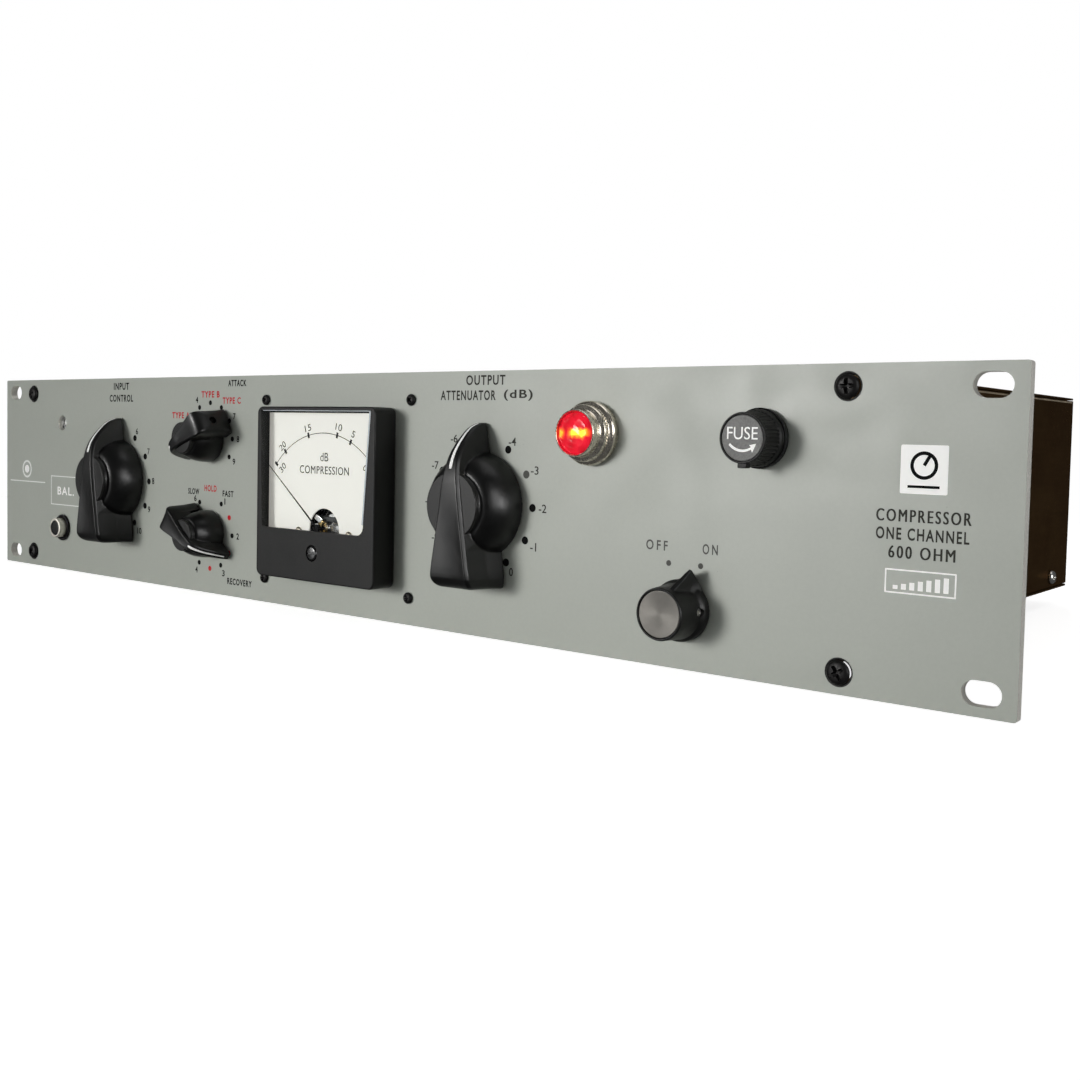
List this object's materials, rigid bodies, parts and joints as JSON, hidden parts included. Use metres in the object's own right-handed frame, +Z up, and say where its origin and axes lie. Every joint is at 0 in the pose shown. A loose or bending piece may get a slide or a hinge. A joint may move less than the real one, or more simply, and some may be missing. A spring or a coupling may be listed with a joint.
{
  "type": "rack compressor",
  "caption": "Two-unit rack compressor: grey panel with pointer knobs, moving-needle meter, lamp and fuse in front of a dark folded-steel chassis with rear connectors.",
  "frame": {"origin": "on the ground under the middle of the footprint: midway between the panel's ends in X, midway between the foremost knob face and the rearmost connector latch in Y, and level with the panel's lower edge in Z", "axes": "+X to the right seen from the front, along the panel; +Y towards the rear; +Z up"},
  "size_m": [0.4826, 0.2808, 0.0881],
  "materials": {
    "panel_enamel": "satin light grey enamel",
    "black_screw": "black oxide",
    "bronze_steel": "dark bronze passivated sheet",
    "black_knob": "moulded black",
    "power_knob": "moulded black with a grey inlaid disc",
    "steel_shaft": "turned",
    "switch_body": "moulded switch wafers",
    "meter_case": "moulded black",
    "meter_window": "clear",
    "dial_white": "printed matt white",
    "needle_black": "matt black",
    "brass": "machined",
    "nickel": "bright nickel",
    "red_lens": "translucent red",
    "lamp_glass": "clear bulb",
    "fuse_black": "moulded black",
    "fuse_glass": "glass tube with metal ends",
    "zinc": "zinc plated",
    "transformer": "varnished laminations and winding",
    "capacitor": "drawn can",
    "valve_glass": "clear glass envelope",
    "board_green": "fibreglass board",
    "connector": "moulded black shell"
  },
  "bodies": {
    "frame": {"attack_switch": "switch_body", "balance_pot": "switch_body", "balance_switch": "connector", "bottom_cover": "bronze_steel", "chassis": "bronze_steel", "circuit_board": "board_green", "cover_screw_left_front": "zinc", "cover_screw_left_rear": "zinc", "cover_screw_right_front": "zinc", "cover_screw_right_rear": "zinc", "filter_capacitor": "capacitor", "front_panel": "panel_enamel", "fuse_holder": "fuse_black", "input_switch": "switch_body", "input_transformer": "capacitor", "input_xlr": "connector", "lamp_bezel": "nickel", "lamp_bulb": "lamp_glass", "lamp_holder": "nickel", "lamp_lens": "red_lens", "mains_inlet": "connector", "meter_case": "meter_case", "meter_dial": "dial_white", "meter_glass": "meter_window", "meter_movement": "brass", "meter_screw_1": "black_screw", "meter_screw_2": "black_screw", "meter_screw_3": "black_screw", "meter_screw_4": "black_screw", "output_switch": "switch_body", "output_transformer": "transformer", "output_xlr": "connector", "panel_screw_1": "black_screw", "panel_screw_2": "black_screw", "panel_screw_3": "black_screw", "panel_screw_4": "black_screw", "power_switch": "switch_body", "power_transformer": "transformer", "recovery_switch": "switch_body", "top_cover": "bronze_steel", "valve_1": "valve_glass", "valve_2": "valve_glass", "valve_3": "valve_glass"},
    "input_control": {"input_knob": "black_knob", "input_shaft": "steel_shaft"},
    "output_control": {"output_knob": "black_knob", "output_shaft": "steel_shaft"},
    "attack_control": {"attack_knob": "black_knob", "attack_shaft": "steel_shaft"},
    "recovery_control": {"recovery_knob": "black_knob", "recovery_shaft": "steel_shaft"},
    "power_control": {"power_knob": "power_knob", "power_shaft": "steel_shaft"},
    "meter_pointer": {"meter_needle": "needle_black"},
    "zero_adjuster": {"meter_zero_screw": "meter_case"},
    "fuse_carrier": {"fuse_cartridge": "fuse_glass"},
    "fuse_top": {"fuse_cap": "fuse_black"},
    "trimmer": {"balance_trimmer": "steel_shaft"},
    "push_button": {"balance_button": "black_knob"},
    "xlr_latch": {"input_xlr_latch": "zinc"}
  },
  "joints": [
    {"name": "input_turn", "type": "hinge", "parent": "frame", "child": "input_control", "pos_m": [-0.1428, -0.1237, 0.04375], "axis": [0, -1, 0], "range_deg": [-150, 150]},
    {"name": "output_turn", "type": "hinge", "parent": "frame", "child": "output_control", "pos_m": [0.0682, -0.1237, 0.04405], "axis": [0, -1, 0], "range_deg": [-150, 150]},
    {"name": "attack_turn", "type": "hinge", "parent": "frame", "child": "attack_control", "pos_m": [-0.079, -0.1237, 0.06305], "axis": [0, -1, 0], "range_deg": [-270, 0]},
    {"name": "recovery_turn", "type": "hinge", "parent": "frame", "child": "recovery_control", "pos_m": [-0.0785, -0.1237, 0.02435], "axis": [0, -1, 0], "range_deg": [-208, 92]},
    {"name": "power_turn", "type": "hinge", "parent": "frame", "child": "power_control", "pos_m": [0.1464, -0.1237, 0.01755], "axis": [0, -1, 0], "range_deg": [0, 45]},
    {"name": "needle_swing", "type": "hinge", "parent": "frame", "child": "meter_pointer", "pos_m": [-0.004, -0.1237, 0.03175], "axis": [0, -1, 0], "range_deg": [-100, 2]},
    {"name": "zero_adjust", "type": "hinge", "parent": "frame", "child": "zero_adjuster", "pos_m": [-0.0043, -0.1237, 0.02275], "axis": [0, -1, 0], "range_deg": [-45, 45]},
    {"name": "fuse_pull", "type": "slide", "parent": "frame", "child": "fuse_carrier", "axis": [0, -1, 0], "range_m": [0, 0.035]},
    {"name": "fuse_turn", "type": "hinge", "parent": "fuse_carrier", "child": "fuse_top", "pos_m": [0.1702, -0.1237, 0.06785], "axis": [0, -1, 0], "range_deg": [0, 90]},
    {"name": "trim_turn", "type": "hinge", "parent": "frame", "child": "trimmer", "pos_m": [-0.191, -0.1237, 0.06805], "axis": [0, -1, 0], "range_deg": [-150, 150]},
    {"name": "balance_press", "type": "slide", "parent": "frame", "child": "push_button", "axis": [0, 1, 0], "range_m": [0, 0.003], "stiffness_N_per_m": 300, "springref_m": -0.001},
    {"name": "latch_press", "type": "slide", "parent": "frame", "child": "xlr_latch", "axis": [0, -1, 0], "range_m": [0, 0.0013], "stiffness_N_per_m": 400, "springref_m": -0.001}
  ]
}
